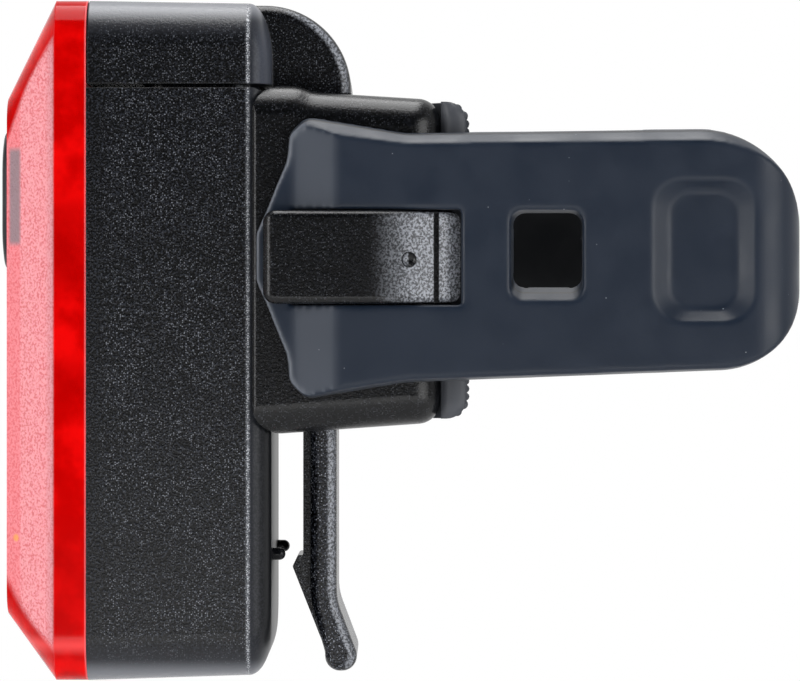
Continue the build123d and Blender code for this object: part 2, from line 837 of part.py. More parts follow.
# Pad: a band of rubber on the post with two lips over the bracket's rear edges
def make_pad():
    lip_half = pad_rear_half_width + pad_lip_overhang
    back = Circle(post_radius + pad_thickness) - Circle(post_radius)
    back &= Pos(bracket_rear_x - post_radius, 0) * Rectangle(2 * post_radius, 4 * post_radius)
    lip_x = (bracket_rear_x + fit_gap + pad_rear_x) / 2
    lips = Pos(lip_x, 0) * Rectangle(pad_lip_depth - fit_gap, 2 * lip_half)
    lips -= Circle(post_radius)
    joint_band = Circle(post_radius + pad_thickness) - Circle(post_radius)
    joint_band &= Pos(bracket_rear_x + pad_lip_depth / 2, 0) * Rectangle(pad_lip_depth, 4 * post_radius)
    joint_band &= Pos(bracket_rear_x + pad_lip_depth / 2, 0) * Rectangle(pad_lip_depth, 2 * lip_half)
    outline = back + lips + joint_band
    pad = extrude(Plane.XY.offset(-pad_height / 2) * outline, pad_height)
    corner_box = side_profile(
        [
            (-2 * post_radius, -pad_height / 2),
            (pad_rear_x, -pad_height / 2),
            (pad_rear_x, pad_height / 2),
            (-2 * post_radius, pad_height / 2),
        ],
        [0, pad_corner, pad_corner, 0],
        2 * post_radius,
    )
    pad &= corner_box
    grooves = int((pad_height / 2 - pad_corner) / rib_pitch)
    for i in range(-grooves, grooves):
        groove_z = (i + 0.5) * rib_pitch
        pad -= Pos(0, 0, groove_z) * Torus(post_radius, rib_groove_radius)
        pad -= Pos(pad_rear_x, 0, groove_z) * Rot(90, 0, 0) * Cylinder(rib_groove_radius, 3 * lip_half)
    return pad


# Strap: a closed loop, hooked on both sides, cut to its side outline
def make_strap():
    front_x = hook_neck_front_x - slide_gap - strap_end_strip
    back_x = post_radius + strap_slack + strap_thickness
    thin_x = front_x + strap_end_strip + slide_gap
    taper_x = thin_x + strap_taper_length
    thin_y = strap_inner_y + strap_end_thickness
    outer = [
        (front_x, -thin_y),
        (thin_x, -thin_y),
        (taper_x, -strap_outer_y),
        (back_x, -strap_outer_y),
        (back_x, strap_outer_y),
        (taper_x, strap_outer_y),
        (thin_x, thin_y),
        (front_x, thin_y),
        (front_x, strap_inner_y),
        (back_x - strap_thickness, strap_inner_y),
        (back_x - strap_thickness, -strap_inner_y),
        (front_x, -strap_inner_y),
    ]
    bend = strap_bend_radius
    inner = strap_inner_bend
    ease = strap_taper_length
    radii = [0, ease, ease, bend, bend, ease, ease, 0, 0, inner, inner, 0]
    loop = make_face(FilletPolyline(*outer, radius=radii, close=True))
    tall = 3 * strap_width
    strap = extrude(Plane.XY.offset(-tall / 2) * loop, tall)

    half = strap_width / 2
    flare_half = half + strap_flare
    flare_x = front_x + strap_flare_length / 2
    waist_x = flare_x - strap_flare - strap_waist_step
    end_mid_z = strap_mid_z + strap_end_lift
    outline = [
        (front_x, strap_mid_z - strap_tab_height / 2),
        (waist_x, strap_mid_z - half + strap_waist_drop),
        (flare_x - strap_flare, strap_mid_z - half),
        (flare_x, strap_mid_z - flare_half),
        (flare_x + strap_flare_length, strap_mid_z - half),
        (back_x, end_mid_z - strap_end_height / 2),
        (back_x, end_mid_z + strap_end_height / 2),
        (flare_x + strap_flare_length, strap_mid_z + half),
        (flare_x, strap_mid_z + flare_half),
        (flare_x - strap_flare, strap_mid_z + half),
        (waist_x, strap_mid_z + half - strap_waist_drop),
        (front_x, strap_mid_z + strap_tab_height / 2),
    ]
    shoulder = strap_shoulder_corner
    side_radii = [strap_tab_corner, strap_waist_ease, shoulder, shoulder, strap_flare_ease]
    end_radii = [strap_end_low_corner, strap_end_high_corner]
    strap &= side_profile(outline, side_radii + end_radii + side_radii[::-1], 2 * strap_outer_y)

    hole_front = hook_neck_front_x - slide_gap
    hole_rear = hook_neck_rear_x + slide_gap
    hole_half = hook_height / 2 + slide_gap
    strap -= block(
        hole_front,
        hole_rear,
        -2 * strap_outer_y,
        2 * strap_outer_y,
        strap_mid_z - hole_half,
        strap_mid_z + hole_half,
    )
    window_x = hole_rear + window_gap + window_length / 2
    inner_height = window_height - window_low_slope - window_high_slope
    inner_rise = window_rise + (window_low_slope - window_high_slope) / 2
    window = RectangleRounded(window_length, window_height, window_corner)
    inner = RectangleRounded(window_length - window_side_slope, inner_height, window_corner)
    inner_x = window_x + window_side_slope / 2
    strap -= loft(
        [
            Plane.XZ.offset(strap_outer_y) * Pos(window_x, strap_mid_z + window_rise) * window,
            Plane.XZ.offset(strap_inner_y) * Pos(inner_x, strap_mid_z + inner_rise) * inner,
        ]
    )
    recess_x = back_x - recess_from_end - recess_length / 2
    mouth = RectangleRounded(recess_length, recess_height, recess_corner)
    floor_length = recess_length - 2 * recess_slope
    floor_height = recess_height - 2 * recess_end_slope
    floor = RectangleRounded(floor_length, floor_height, recess_corner - recess_slope / 2)
    place = Pos(recess_x, strap_mid_z + recess_rise)
    strap -= loft(
        [
            Plane.XZ.offset(strap_outer_y) * place * mouth,
            Plane.XZ.offset(strap_outer_y - recess_depth) * place * floor,
        ]
    )
    return strap


os.makedirs("parts", exist_ok=True)
pieces = {
    "lens": make_lens(),
    "lens_gasket": make_lens_seal(),
    "housing": make_housing(),
    "circuit_board": make_board(),
    "board_screws": make_board_screws(),
    "button_switch": make_switch(),
    "light_leds": make_leds(),
    "led_reflector": make_reflector(),
    "indicator_led": make_indicator_led(),
    "indicator_light_pipe": make_light_pipe(),
    "power_button": make_key(),
    "button_plunger": make_plunger(),
    "battery_cell_near": make_cell(-1, True),
    "battery_cell_far": make_cell(1, False),
    "battery_contacts": make_contacts(),
    "battery_spring": make_spring(),
    "battery_cap": make_cap(),
    "cap_gasket": make_cap_seal(),
    "cap_bridge": make_bridge(),
    "bridge_screw": make_bridge_screw(),
    "belt_clip": make_clip(),
    "bracket": make_bracket(),
    "post_pad": make_pad(),
    "strap": make_strap(),
}
for name, piece in pieces.items():
    export_step(piece, f"parts/{name}.step")
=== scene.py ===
"""A battery rear light in its strap bracket, finished piece by piece in the order it goes together."""
import math

import bmesh
import bpy
import numpy as np
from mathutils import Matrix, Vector


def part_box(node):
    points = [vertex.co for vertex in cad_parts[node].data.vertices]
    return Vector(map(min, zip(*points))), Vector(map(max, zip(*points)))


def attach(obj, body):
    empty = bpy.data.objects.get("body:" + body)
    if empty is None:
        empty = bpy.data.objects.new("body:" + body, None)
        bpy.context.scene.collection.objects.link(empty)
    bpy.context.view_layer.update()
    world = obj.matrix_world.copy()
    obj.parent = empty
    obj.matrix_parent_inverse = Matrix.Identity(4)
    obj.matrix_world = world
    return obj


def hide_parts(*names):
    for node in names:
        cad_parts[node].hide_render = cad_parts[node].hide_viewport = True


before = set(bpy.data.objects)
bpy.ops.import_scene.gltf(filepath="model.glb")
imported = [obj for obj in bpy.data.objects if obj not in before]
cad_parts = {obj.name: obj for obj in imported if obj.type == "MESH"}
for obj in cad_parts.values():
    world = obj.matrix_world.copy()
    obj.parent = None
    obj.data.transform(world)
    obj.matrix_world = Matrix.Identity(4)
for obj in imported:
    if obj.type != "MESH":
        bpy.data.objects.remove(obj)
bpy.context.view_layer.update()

# Camera. A long lens looks square at the light's left side from 43.5 cm beside the post's axis, level
# and a little below the middle of the strap, as the photograph does.
lens_focal = 196.9
view_middle_x = -0.01399
view_middle_z = -0.00773
view_distance = 0.435
camera = bpy.data.objects.new("camera", bpy.data.cameras.new("camera"))
camera.data.lens = lens_focal
camera.data.sensor_width = 36.0
camera.data.clip_start = 0.01
camera.location = (view_middle_x, -view_distance, view_middle_z)
camera.rotation_euler = (math.radians(90), 0, 0)
bpy.context.scene.collection.objects.link(camera)
bpy.context.scene.camera = camera

# Studio. A white tent lights the part from all round, dimmer on the camera's side where the tent is
# open, with soft boxes above, at both sides and low in front, over a pale floor.
tent_front = 0.045
tent_level = 0.50
tent_turns = (-0.85, 0.1)
tent_behind = (-0.1, 0.5)
floor_z = -0.085
floor_size = 3.0
floor_behind = (-0.02, 0.12)
floor_clears = (0.16, 0.40)
floor_near = 0.55
pure_white = (1, 1, 1, 1)
paper_white = (0.86, 0.86, 0.86, 1)


def add_node(tree, kind, inputs=(), **settings):
    """A new node, with its sockets set to values or linked from other sockets."""
    made = tree.nodes.new(kind)
    for name, value in settings.items():
        setattr(made, name, value)
    for socket, value in dict(inputs).items():
        if isinstance(value, bpy.types.NodeSocket):
            tree.links.new(value, made.inputs[socket])
        else:
            made.inputs[socket].default_value = value
    return made


def ease(tree, value, start, end, low=0.0, high=1.0):
    """A smooth change from low to high as a value goes from start to end."""
    spread = {"Value": value, "From Min": start, "From Max": end, "To Min": low, "To Max": high}
    made = add_node(tree, "ShaderNodeMapRange", spread, interpolation_type="SMOOTHSTEP")
    return made.outputs["Result"]


def combine(tree, operation, first, second=0.0, limit=False):
    """Two values added, multiplied or compared, or one value changed."""
    made = add_node(tree, "ShaderNodeMath", {0: first, 1: second}, operation=operation, use_clamp=limit)
    return made.outputs[0]


def times(tree, first, *others):
    """Values multiplied together."""
    for other in others:
        first = combine(tree, "MULTIPLY", first, other)
    return first


def axes(tree, vector, wanted):
    """The wanted parts of a vector, named by their letters."""
    split = add_node(tree, "ShaderNodeSeparateXYZ", {0: vector})
    return [split.outputs[letter] for letter in wanted]


def shown_white(tree, place, behind):
    """One for rays from the camera, and for mirrored and bent rays that end behind the object."""
    rays = add_node(tree, "ShaderNodeLightPath")
    bent = combine(tree, "MAXIMUM", rays.outputs["Is Glossy Ray"], rays.outputs["Is Transmission Ray"])
    bent = times(tree, bent, ease(tree, place, *behind))
    return combine(tree, "MAXIMUM", bent, rays.outputs["Is Camera Ray"])


world = bpy.data.worlds.new("tent")
world.use_nodes = True
world.node_tree.nodes.clear()
tree = world.node_tree
toward = add_node(tree, "ShaderNodeTexCoord").outputs["Generated"]
across = axes(tree, toward, "Y")[0]
tent = ease(tree, across, *tent_turns, tent_front, tent_level)
strength = combine(tree, "MAXIMUM", tent, shown_white(tree, across, tent_behind))
white = add_node(tree, "ShaderNodeBackground", {"Color": pure_white, "Strength": strength})
add_node(tree, "ShaderNodeOutputWorld", {"Surface": white.outputs[0]})
bpy.context.scene.world = world
bpy.context.scene.view_settings.view_transform = "Standard"


def soft_box(name, place, aim, width, height, power):
    """A rectangular soft box at a place, turned towards another."""
    data = bpy.data.lights.new(name, "AREA")
    data.shape = "RECTANGLE"
    data.size = width
    data.size_y = height
    data.energy = power
    lamp = bpy.data.objects.new(name, data)
    lamp.location = place
    lamp.rotation_euler = (Vector(aim) - Vector(place)).to_track_quat("-Z", "Y").to_euler()
    bpy.context.scene.collection.objects.link(lamp)


soft_box("top_box", (-0.01, 0.03, 0.50), aim=(-0.01, 0.03, 0), width=0.26, height=0.50, power=2.9)
soft_box("left_box", (-0.46, -0.32, 0.04), aim=(0, 0, 0), width=0.16, height=0.42, power=1.55)
soft_box("right_box", (0.40, -0.36, 0.02), aim=(0, 0, 0), width=0.34, height=0.42, power=1.9)
soft_box("low_box", (-0.02, -0.24, -0.078), aim=(-0.01, 0, -0.03), width=0.30, height=0.05, power=0.14)

floor_mesh = bpy.data.meshes.new("floor")
edge = floor_size / 2
corners = [(-edge, -edge, floor_z), (edge, -edge, floor_z), (edge, edge, floor_z), (-edge, edge, floor_z)]
floor_mesh.from_pydata(corners, [], [(0, 1, 2, 3)])
floor = bpy.data.objects.new("floor", floor_mesh)
bpy.context.scene.collection.objects.link(floor)
paper = bpy.data.materials.new("pale_paper")
paper.use_nodes = True
tree = paper.node_tree
tree.nodes.clear()
spot = add_node(tree, "ShaderNodeTexCoord").outputs["Object"]
far_off = add_node(tree, "ShaderNodeVectorMath", {0: spot}, operation="LENGTH").outputs["Value"]
clear = ease(tree, far_off, *floor_clears, floor_near, 1.0)
shown = times(tree, clear, shown_white(tree, axes(tree, spot, "Y")[0], floor_behind))
matt = add_node(tree, "ShaderNodeBsdfDiffuse", {"Color": paper_white})
bright = add_node(tree, "ShaderNodeEmission", {"Color": pure_white, "Strength": 1.0})
mixed = add_node(tree, "ShaderNodeMixShader", {0: shown, 1: matt.outputs[0], 2: bright.outputs[0]})
add_node(tree, "ShaderNodeOutputMaterial", {"Surface": mixed.outputs[0]})
floor_mesh.materials.append(paper)

# Housing, battery cap, belt clip and bracket. Four mouldings in black plastic with a spark-eroded
# grain and painted glints in it, and painted highlights on slanting bends. The housing and the cap
# have plain backs, the cap's painted lighter grey, with a painted highlight beside and along their
# creases and painted highlights at their floor and top ends. The cap and the clip are pulled off
# upwards together, and the clip drops into the bracket's slot.
housing_low, housing_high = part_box("housing")
cap_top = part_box("battery_cap")[1][2]
back_round = 0.0022
nub_reach = 0.00125
edge_round = 0.00016
root_half = 0.0094
root_soft = 0.0001
hook_from = 0.0166
outside = 1.0

grain_pitch = 0.00022
grain_depth = 0.00005
grain_black = (0.0002, 0.0003, 0.0006, 1)
grain_grey = (0.0225, 0.0255, 0.0345, 1)
fleck_pitch = 0.00017
painted_glint_grey = (0.270, 0.285, 0.325, 1)
drift_pitch = 0.004
case_back = (0.0027, 0.0030, 0.0039, 1)
cap_back_highlight = (0.0495, 0.0550, 0.0715, 1)
back_highlight_width = 0.0016
back_highlight_grey = (0.0110, 0.0125, 0.0170, 1)
front_strip = 0.0022
strip_soft = 0.0012
bend_highlight_grey = (0.290, 0.305, 0.340, 1)
crease_width = 0.00045
crease_soft = 0.00012
crease_highlight_grey = (0.090, 0.096, 0.108, 1)
crease_glint_grey = (0.720, 0.740, 0.790, 1)
end_highlights = [(0.0048, (0.028, 0.030, 0.036, 1)), (0.0024, (0.190, 0.198, 0.220, 1))]
grain_rough, back_rough = 0.27, 0.34
grain_gloss, back_gloss = 0.30, 0.15
back_relief = 0.05
nub_polish = 0.2
place_soft = 0.0002
strip_glints = 0.15


def new_finish(name):
    """An empty material with its principled shader, and the piece's own coordinates."""
    finish = bpy.data.materials.new(name)
    finish.use_nodes = True
    tree = finish.node_tree
    tree.nodes.clear()
    shader = add_node(tree, "ShaderNodeBsdfPrincipled")
    add_node(tree, "ShaderNodeOutputMaterial", {"Surface": shader.outputs[0]})
    spot = add_node(tree, "ShaderNodeTexCoord").outputs
    return finish, tree, shader, spot


def give(tree, shader, **sockets):
    """Sets or links the shader's sockets; an underscore stands for a space."""
    for name, value in sockets.items():
        socket = shader.inputs[name.replace("_", " ")]
        if isinstance(value, bpy.types.NodeSocket):
            tree.links.new(value, socket)
        else:
            socket.default_value = value


def clouds(tree, place, pitch, detail=2.0, rough=0.5):
    """Noise whose patches are about one pitch across, in metres."""
    fields = {"Vector": place, "Scale": 1 / pitch, "Detail": detail, "Roughness": rough}
    return add_node(tree, "ShaderNodeTexNoise", fields).outputs[0]


def vary(tree, cloud, low, high):
    """A value that wanders from low to high with the clouds."""
    return ease(tree, cloud, 0.3, 0.7, low, high)


def flecks(tree, place, pitch, share, size):
    """Small specks, one in a share of the cells of one pitch, each a part of its cell wide."""
    cells = add_node(tree, "ShaderNodeTexVoronoi", {"Vector": place, "Scale": 1 / pitch})
    lot = add_node(tree, "ShaderNodeSeparateColor", {0: cells.outputs["Color"]}).outputs["Red"]
    chosen = ease(tree, lot, 1 - share, 1.0)
    return times(tree, chosen, ease(tree, cells.outputs["Distance"], size, size * 0.4))


def unsigned(tree, value):
    """A value without its sign."""
    return combine(tree, "ABSOLUTE", value)


def blend_colors(tree, share, first, second):
    """One colour going over to another."""
    colors = {0: share, 6: first, 7: second}
    return add_node(tree, "ShaderNodeMix", colors, data_type="RGBA").outputs[2]


def raise_grain(tree, height, depth, strength, base=None):
    """A bump from a height, over the rounded edges where a base normal is given."""
    fields = {"Height": height, "Distance": depth, "Strength": strength}
    if base is not None:
        fields["Normal"] = base
    return add_node(tree, "ShaderNodeBump", fields).outputs["Normal"]


def rounded_edges(tree, radius):
    """Normals that turn over every edge in a small radius."""
    return add_node(tree, "ShaderNodeBevel", {"Radius": radius}, samples=6).outputs["Normal"]


def paint_end_highlights(tree, tint, up, off_root):
    """The housing's floor and the cap's top, with a painted highlight: grey near their edges and pale right
    at them.
    """
    above_floor = combine(tree, "SUBTRACT", up, housing_low[2])
    below_top = combine(tree, "SUBTRACT", cap_top, up)
    from_end = combine(tree, "MINIMUM", above_floor, below_top)
    for reach, color in end_highlights:
        end_highlight = times(tree, ease(tree, from_end, reach, reach * 0.25), off_root, 0.85)
        tint = blend_colors(tree, end_highlight, tint, color)
    return tint


def paint_bend_highlights(tree, tint, normal, *shares):
    """Rounded edges that face the post at a slant, with a painted highlight in a share of the grain."""
    ahead, beside = axes(tree, normal, "XY")
    slanting = ease(tree, ahead, 0.08, 0.34)
    bend = times(tree, slanting, ease(tree, unsigned(tree, beside), 0.45, 0.75), *shares)
    return blend_colors(tree, bend, tint, bend_highlight_grey)


def black_moulding(name, tone, relief=0.8, plain_from=outside, root=0.0, strip_end=-outside,
                   gloss_from=outside, highlight_from=-outside, back=case_back, back_highlight_left=0.12):
    """Black plastic, grained up to a place along X and plain beyond it, but for the clip's root.

    A place that a piece doesn't give lies a metre off, outside every piece.
    """
    finish, tree, shader, spot = new_finish(name)
    place = spot["Object"]
    along, across, up = axes(tree, place, "XYZ")
    sideways = unsigned(tree, across)
    in_root = ease(tree, sideways, root + root_soft, root - root_soft)
    grained = ease(tree, along, plain_from + crease_soft, plain_from - crease_soft, back_relief, 1.0)
    grained = combine(tree, "MAXIMUM", grained, in_root)

    bead = clouds(tree, place, grain_pitch, rough=0.6)
    grey = times(tree, ease(tree, bead, 0.47, 0.66), tone)
    grain = blend_colors(tree, grey, grain_black, grain_grey)
    # Painted highlight: the plain back is lighter grey right beside the crease, fading off along X.
    haze = ease(tree, along, plain_from, plain_from + back_highlight_width, 1.0, back_highlight_left)
    tint = blend_colors(tree, grained, blend_colors(tree, haze, back, back_highlight_grey), grain)

    drift = clouds(tree, place, drift_pitch, detail=3.0)
    # Painted glints: bright grey specks in the grain stand in for light caught by its facets.
    glint = times(
        tree,
        flecks(tree, place, fleck_pitch, share=0.55, size=0.50),
        vary(tree, drift, 0.35, 1.0),
        grained,
        ease(tree, along, strip_end - strip_soft, strip_end, strip_glints, tone),
    )
    tint = blend_colors(tree, glint, tint, painted_glint_grey)

    # Painted highlight on slanting bends; on the bracket it lies only past the hook's place across.
    on_hook = ease(tree, sideways, highlight_from, highlight_from + place_soft)
    in_beads = ease(tree, bead, 0.40, 0.62, 0.18, 1.0)
    tint = paint_bend_highlights(tree, tint, spot["Normal"], grained, on_hook, in_beads)
    # Painted highlights at the floor and top ends, on the housing and the cap.
    if strip_end > -outside:
        tint = paint_end_highlights(tree, tint, up, combine(tree, "SUBTRACT", 1.0, in_root, limit=True))

    # Painted highlight: a pale grey line along the crease, with painted glints in it.
    off_crease = unsigned(tree, combine(tree, "SUBTRACT", along, plain_from))
    crease = combine(tree, "SUBTRACT", ease(tree, off_crease, crease_width, 0.0), in_root, limit=True)
    crease = combine(tree, "POWER", crease, 3.0)
    tint = blend_colors(tree, crease, tint, crease_highlight_grey)
    crease_glints = times(tree, flecks(tree, place, fleck_pitch * 0.8, share=1.2, size=0.6), crease)
    give(tree, shader, Base_Color=blend_colors(tree, crease_glints, tint, crease_glint_grey))

    if plain_from < outside:
        rough = ease(tree, grained, 0.0, 1.0, back_rough, grain_rough)
        polish = ease(tree, along, gloss_from, gloss_from + place_soft, 0.0, nub_polish)
        give(tree, shader, Roughness=combine(tree, "SUBTRACT", rough, polish))
        give(tree, shader, Specular_IOR_Level=ease(tree, grained, 0.0, 1.0, back_gloss, grain_gloss))
    else:
        give(tree, shader, Roughness=grain_rough, Specular_IOR_Level=grain_gloss)
    bump = raise_grain(tree, bead, grain_depth, times(tree, grained, relief), rounded_edges(tree, edge_round))
    give(tree, shader, Normal=bump)
    return finish


def finish_node(node, finish):
    """A CAD piece keeps its form and gets its finish."""
    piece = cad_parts[node]
    if not piece.material_slots:
        piece.data.materials.append(finish)
    for holder in piece.material_slots:
        holder.material = finish


crease_x = housing_high[0] - nub_reach - back_round
strip_x = housing_low[0] + front_strip
nub_x = housing_high[0] - nub_reach + edge_round
case_black = black_moulding(
    "case_black", tone=0.66, plain_from=crease_x, strip_end=strip_x, gloss_from=nub_x
)
# The cap's plain back is painted lighter grey, a painted highlight.
cap_black = black_moulding(
    "cap_black", tone=0.5, plain_from=crease_x, strip_end=strip_x, root=root_half, back=cap_back_highlight,
    back_highlight_left=0.0,
)
finish_node("housing", case_black)
finish_node("battery_cap", cap_black)
finish_node("belt_clip", black_moulding("clip_black", tone=1.5))
finish_node("bracket", black_moulding("bracket_black", tone=0.20, relief=0.5, highlight_from=hook_from))

# Lens. A red moulding on the housing's front: a clear glossy band, then four sides that slope in to
# the flat front. Its two long sides are frosted outside, the rest is polished.
lens_low, lens_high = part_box("lens")
band_depth = 0.0031
lens_lip = 0.0010
band_front = lens_high[0] - lens_lip - band_depth
nose_short = 0.00125
nose_length = band_front - lens_low[0] - nose_short
nose_top = 0.0093
nose_bottom = 0.0063
top_strip = 0.0019
bottom_strip = 0.0024
lens_edge = 0.0002
acrylic_ior = 1.49

frost_pitch = 0.00023
frost_depth = 0.00016
clear_rough, frost_rough = 0.07, 0.37
clear_gloss, frost_gloss = 0.05, 0.47
frost_low = (0.78, 0.160, 0.180, 1)
frost_high = (0.96, 0.370, 0.410, 1)
front_shade = (0.0013, 0.0015)
front_red = (0.90, 0.12, 0.14, 1)
tray_reach = (lens_low[0] + 0.0003, lens_low[0] + 0.0014)
tray_height = (0.0016, 0.0108)
tray_grey = (0.215, 0.200, 0.225, 1)
band_side = 0.0011
band_red = (0.50, 0.20, 0.23, 1)
pipe_seen = (-0.0512, -0.0119, -0.0268)
pipe_radii = (0.00022, 0.00050)
pipe_amber = (1.0, 0.36, 0.10, 1)

haze_pitch = 0.004
deep_red = (0.50, 0.0, 0.0, 1)
open_red = (0.78, 0.002, 0.002, 1)
dark_places = [
    (-0.0029, 0.0057, 0.55), (-0.0134, -0.0096, 0.5), (-0.0345, -0.0270, 0.4), (0.0222, 0.03, 0.45),
]
dark_red = (0.38, 0.0, 0.0, 1)
pale_place = (-0.0376, -0.0364)
pale_red = (1.0, 0.10, 0.10, 1)
rim_highlight_red = (1.0, 0.22, 0.24, 1)


def stretch(tree, value, low, high, soft):
    """One between two places along a value and nothing outside them, with soft ends."""
    after = ease(tree, value, low - soft, low + soft)
    return times(tree, after, ease(tree, value, high + soft, high - soft))


def frosted_share(tree, along, up, facing):
    """One on the nose's two long sides, and nothing on the polished strips along its slanting edges."""
    nose = ease(tree, along, band_front + 0.0001, band_front - 0.0002)
    frosted = times(tree, nose, ease(tree, unsigned(tree, facing), 0.60, 0.755))
    run = combine(tree, "DIVIDE", combine(tree, "SUBTRACT", band_front, along), nose_length)
    edges = [(lens_high[2], -1, nose_top, top_strip), (lens_low[2], 1, nose_bottom, bottom_strip)]
    for edge, inwards, inset, strip in edges:
        slope_z = combine(tree, "ADD", times(tree, run, inset * inwards), edge)
        inside = times(tree, combine(tree, "SUBTRACT", up, slope_z), inwards)
        frosted = times(tree, frosted, ease(tree, inside, strip * 0.2, strip))
    return frosted


def frosted_red(tree, place, along, up, pebble):
    """Pink pebbles, darker at the front, by the band and before the tray, with the pipe's amber spot."""
    from_front = combine(tree, "SUBTRACT", along, lens_low[0])
    by_front = ease(tree, from_front, front_shade[1], front_shade[0])
    by_tray = stretch(tree, along, *tray_reach, soft=0.0002)
    by_tray = times(tree, by_tray, stretch(tree, up, *tray_height, soft=0.0004))
    by_band = ease(tree, along, band_front - band_side, band_front)
    to_pipe = add_node(tree, "ShaderNodeVectorMath", {0: place, 1: pipe_seen}, operation="DISTANCE")
    glow = ease(tree, to_pipe.outputs["Value"], pipe_radii[1], pipe_radii[0])
    pink = blend_colors(tree, ease(tree, pebble, 0.30, 0.62), frost_low, frost_high)
    pink = blend_colors(tree, times(tree, by_front, 0.45), pink, front_red)
    pink = blend_colors(tree, times(tree, by_tray, 0.85), pink, tray_grey)
    pink = blend_colors(tree, times(tree, by_band, 0.45), pink, band_red)
    return blend_colors(tree, glow, pink, pipe_amber)


def clear_red(tree, place, along, up):
    """Deep red, darker or paler at heights where something stands behind it, with a painted highlight along
    the rim.
    """
    haze = clouds(tree, place, haze_pitch, detail=3.0)
    clear = blend_colors(tree, ease(tree, haze, 0.36, 0.64), deep_red, open_red)
    for low, high, depth in dark_places:
        shade = times(tree, stretch(tree, up, low, high, soft=0.0012), depth)
        clear = blend_colors(tree, shade, clear, dark_red)
    pale = times(tree, stretch(tree, up, *pale_place, soft=0.0006), 0.6)
    clear = blend_colors(tree, pale, clear, pale_red)
    # Painted highlight along the lens's rim at the seam.
    rim_x = lens_high[0] - lens_lip - 0.0001
    return blend_colors(tree, ease(tree, along, rim_x - 0.0001, rim_x, 0.0, 0.45), clear, rim_highlight_red)


def red_lens():
    """Red all through, with what stands behind it showing as paler, darker and amber places."""
    finish, tree, shader, spot = new_finish("red_lens")
    place = spot["Object"]
    along, up = axes(tree, place, "XZ")
    facing = axes(tree, spot["Normal"], "Y")[0]
    frosted = frosted_share(tree, along, up, facing)
    pebble = clouds(tree, place, frost_pitch, detail=1.0)
    pink = frosted_red(tree, place, along, up, pebble)
    clear = clear_red(tree, place, along, up)
    give(tree, shader, Base_Color=blend_colors(tree, frosted, clear, pink))
    give(tree, shader, Transmission_Weight=0.08, IOR=acrylic_ior)
    rougher = times(tree, frosted, frost_rough - clear_rough)
    glossier = times(tree, frosted, frost_gloss - clear_gloss)
    give(tree, shader, Roughness=combine(tree, "ADD", rougher, clear_rough))
    give(tree, shader, Specular_IOR_Level=combine(tree, "ADD", glossier, clear_gloss))
    relief = times(tree, frosted, 0.8)
    bump = raise_grain(tree, pebble, frost_depth, relief, rounded_edges(tree, lens_edge))
    give(tree, shader, Normal=bump)
    return finish


finish_node("lens", red_lens())

# Power key. A soft black rubber key that stands a little out of the lens front, with a neck that goes
# through it to the plunger.
key_low, key_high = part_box("power_button")
key_edge = 0.0006
key_cap_depth = 0.0015
key_neck_inset = 0.0018
key_back_edge = 0.0001
key_dome = 0.00018
key_points = 72
key_face_steps = 9
key_edge_steps = 6
key_color = (0.010, 0.011, 0.013)
dust_grey = (0.42, 0.44, 0.46, 1)


def key_ring(x, inset):
    """Points round the key's outline, which is two half circles joined by straight sides."""
    half_width = (key_high[1] - key_low[1]) / 2 - inset
    reach = (key_high[2] - key_low[2]) / 2 - (key_high[1] - key_low[1]) / 2
    middle = (key_high[2] + key_low[2]) / 2
    ring = []
    for i in range(key_points):
        turn = 2 * math.pi * (i + 0.5) / key_points
        lift = reach if math.sin(turn) > 0 else -reach
        ring.append((x, half_width * math.cos(turn), middle + lift + half_width * math.sin(turn)))
    return ring


def skin_rings(name, rings, close_ends=True, close_round=False):
    """A mesh over rings of as many points each, closed at its two ends or joined round."""
    skin = bmesh.new()
    rows = [[skin.verts.new(point) for point in ring] for ring in rings]
    pairs = list(zip(rows, rows[1:]))
    if close_round:
        pairs.append((rows[-1], rows[0]))
    for one, other in pairs:
        for i in range(len(one)):
            j = (i + 1) % len(one)
            skin.faces.new((one[i], one[j], other[j], other[i]))
    if close_ends:
        skin.faces.new(rows[0])
        skin.faces.new(rows[-1])
    bmesh.ops.recalc_face_normals(skin, faces=skin.faces)
    mesh = bpy.data.meshes.new(name)
    skin.to_mesh(mesh)
    skin.free()
    mesh.shade_smooth()
    piece = bpy.data.objects.new(name, mesh)
    bpy.context.scene.collection.objects.link(piece)
    return piece


def key_rings():
    """The domed face, the rounded rim, the cap's back and the neck."""
    half = (key_high[1] - key_low[1]) / 2
    rings = []
    for i in range(1, key_face_steps):
        share = i / key_face_steps
        inset = half * (1 - share) + key_edge * share
        rings.append(key_ring(key_low[0] + key_dome * share ** 3, inset))
    for i in range(1, key_edge_steps + 1):
        turn = math.radians(90 * i / key_edge_steps)
        inset = key_edge * (1 - math.sin(turn))
        rings.append(key_ring(key_low[0] + key_dome + key_edge * (1 - math.cos(turn)), inset))
    back = key_low[0] + key_cap_depth
    rings.append(key_ring(back - key_back_edge, 0))
    rings.append(key_ring(back, key_back_edge))
    rings.append(key_ring(back, key_neck_inset - key_back_edge))
    rings.append(key_ring(back + key_back_edge, key_neck_inset))
    rings.append(key_ring(key_high[0], key_neck_inset))
    return rings


def shaded(color, level):
    """A colour made darker or lighter."""
    return [part * level for part in color] + [1]


